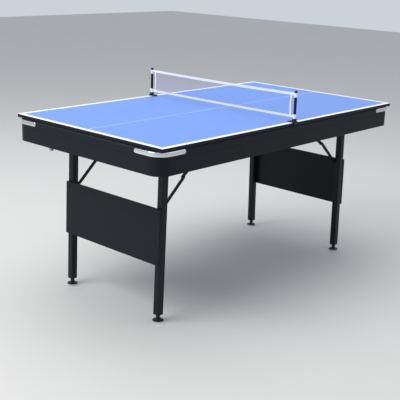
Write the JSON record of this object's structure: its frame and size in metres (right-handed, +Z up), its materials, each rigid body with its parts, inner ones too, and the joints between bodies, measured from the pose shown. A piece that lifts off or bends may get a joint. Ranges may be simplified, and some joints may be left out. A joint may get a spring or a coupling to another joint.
{
  "type": "ping pong table",
  "caption": "Compact ping pong table: a lift-off blue board with a net in two sockets on a black cabinet with chrome corner caps, folding tube legs, elbowed braces and levelling feet.",
  "frame": {"origin": "on the floor, under the table's centre", "axes": "+X along the length, +Y across from the front side to the rear side, +Z up"},
  "size_m": [1.7006, 0.935, 0.958],
  "materials": {
    "playing_board": "satin blue playing paint on fibreboard, with white lines and a black edge",
    "black_laminate": "black laminate on fibreboard, slightly satin",
    "playfield_cloth": "fibreboard bed covered with dark blue cloth",
    "plain_wood": "plain sawn softwood",
    "chrome_cap": "bright chrome plate",
    "black_steel": "black powder coat on steel, satin",
    "grey_steel": "zinc-plated steel, dull",
    "black_plastic": "moulded black plastic, fine grain",
    "net_fabric": "blue knotted nylon net with white tapes"
  },
  "bodies": {
    "table": {"apron_front": "black_laminate", "top_rail_front": "black_laminate", "apron_rear": "black_laminate", "top_rail_rear": "black_laminate", "apron_left": "black_laminate", "top_rail_left": "black_laminate", "apron_right": "black_laminate", "top_rail_right": "black_laminate", "corner_left_front": "black_laminate", "corner_cap_left_front": "chrome_cap", "corner_left_rear": "black_laminate", "corner_cap_left_rear": "chrome_cap", "corner_right_front": "black_laminate", "corner_cap_right_front": "chrome_cap", "corner_right_rear": "black_laminate", "corner_cap_right_rear": "chrome_cap", "playfield_bed": "playfield_cloth", "accessory_hook": "grey_steel", "hinge_bracket_left_front": "black_steel", "brace_ear_left_front": "black_steel", "hinge_bracket_left_rear": "black_steel", "brace_ear_left_rear": "black_steel", "hinge_bracket_right_front": "black_steel", "brace_ear_right_front": "black_steel", "hinge_bracket_right_rear": "black_steel", "brace_ear_right_rear": "black_steel"},
    "board_set": {"tennis_board": "playing_board", "board_cleat_left": "plain_wood", "board_cleat_right": "plain_wood", "net_bracket_front": "black_plastic", "net_bracket_rear": "black_plastic"},
    "net_set": {"net": "net_fabric", "net_post_front": "black_plastic", "net_post_rear": "black_plastic"},
    "legs_left": {"leg_left_front": "black_steel", "leg_left_rear": "black_steel", "leg_panel_left": "black_laminate", "hinge_rod_left": "grey_steel"},
    "brace_lower_left": {"brace_lower_left_front": "black_steel", "brace_lower_left_rear": "black_steel"},
    "brace_upper_left": {"brace_upper_left_front": "black_steel", "brace_upper_left_rear": "black_steel"},
    "foot_left_front": {"levelling_foot_left_front": "black_plastic"},
    "foot_left_rear": {"levelling_foot_left_rear": "black_plastic"},
    "legs_right": {"leg_right_front": "black_steel", "leg_right_rear": "black_steel", "leg_panel_right": "black_laminate", "hinge_rod_right": "grey_steel"},
    "brace_lower_right": {"brace_lower_right_front": "black_steel", "brace_lower_right_rear": "black_steel"},
    "brace_upper_right": {"brace_upper_right_front": "black_steel", "brace_upper_right_rear": "black_steel"},
    "foot_right_front": {"levelling_foot_right_front": "black_plastic"},
    "foot_right_rear": {"levelling_foot_right_rear": "black_plastic"}
  },
  "joints": [
    {"name": "board_lift", "type": "slide", "parent": "table", "child": "board_set", "axis": [0, 0, 1], "range_m": [0, 0.25]},
    {"name": "net_lift", "type": "slide", "parent": "board_set", "child": "net_set", "axis": [0, 0, 1], "range_m": [0, 0.05]},
    {"name": "legs_left_fold", "type": "hinge", "parent": "table", "child": "legs_left", "pos_m": [-0.6552, 0, 0.7119], "axis": [0, -1, 0], "range_deg": [0, 91.5]},
    {"name": "brace_lower_left_fold", "type": "hinge", "parent": "legs_left", "child": "brace_lower_left", "pos_m": [-0.66132, 0, 0.47798], "axis": [0, -1, 0], "range_deg": [-129.5, 0]},
    {"name": "brace_upper_left_fold", "type": "hinge", "parent": "table", "child": "brace_upper_left", "pos_m": [-0.38394, 0, 0.70582], "axis": [0, -1, 0], "range_deg": [0, 152.2]},
    {"name": "foot_left_front_level", "type": "slide", "parent": "legs_left", "child": "foot_left_front", "axis": [0, 0, 1], "range_m": [-0.012, 0]},
    {"name": "foot_left_rear_level", "type": "slide", "parent": "legs_left", "child": "foot_left_rear", "axis": [0, 0, 1], "range_m": [-0.012, 0]},
    {"name": "legs_right_fold", "type": "hinge", "parent": "table", "child": "legs_right", "pos_m": [0.6552, 0, 0.7119], "axis": [0, 1, 0], "range_deg": [0, 86]},
    {"name": "brace_lower_right_fold", "type": "hinge", "parent": "legs_right", "child": "brace_lower_right", "pos_m": [0.66132, 0, 0.47798], "axis": [0, 1, 0], "range_deg": [-131.5, 0]},
    {"name": "brace_upper_right_fold", "type": "hinge", "parent": "table", "child": "brace_upper_right", "pos_m": [0.38394, 0, 0.70582], "axis": [0, 1, 0], "range_deg": [0, 135]},
    {"name": "foot_right_front_level", "type": "slide", "parent": "legs_right", "child": "foot_right_front", "axis": [0, 0, 1], "range_m": [-0.012, 0]},
    {"name": "foot_right_rear_level", "type": "slide", "parent": "legs_right", "child": "foot_right_rear", "axis": [0, 0, 1], "range_m": [-0.012, 0]}
  ],
  "couplings": [
    {"joint": "brace_lower_left_fold", "follows": "legs_left_fold", "ratio": -1.4147},
    {"joint": "brace_upper_left_fold", "follows": "legs_left_fold", "ratio": 1.6629},
    {"joint": "brace_lower_right_fold", "follows": "legs_right_fold", "ratio": -1.5284},
    {"joint": "brace_upper_right_fold", "follows": "legs_right_fold", "ratio": 1.5692}
  ]
}
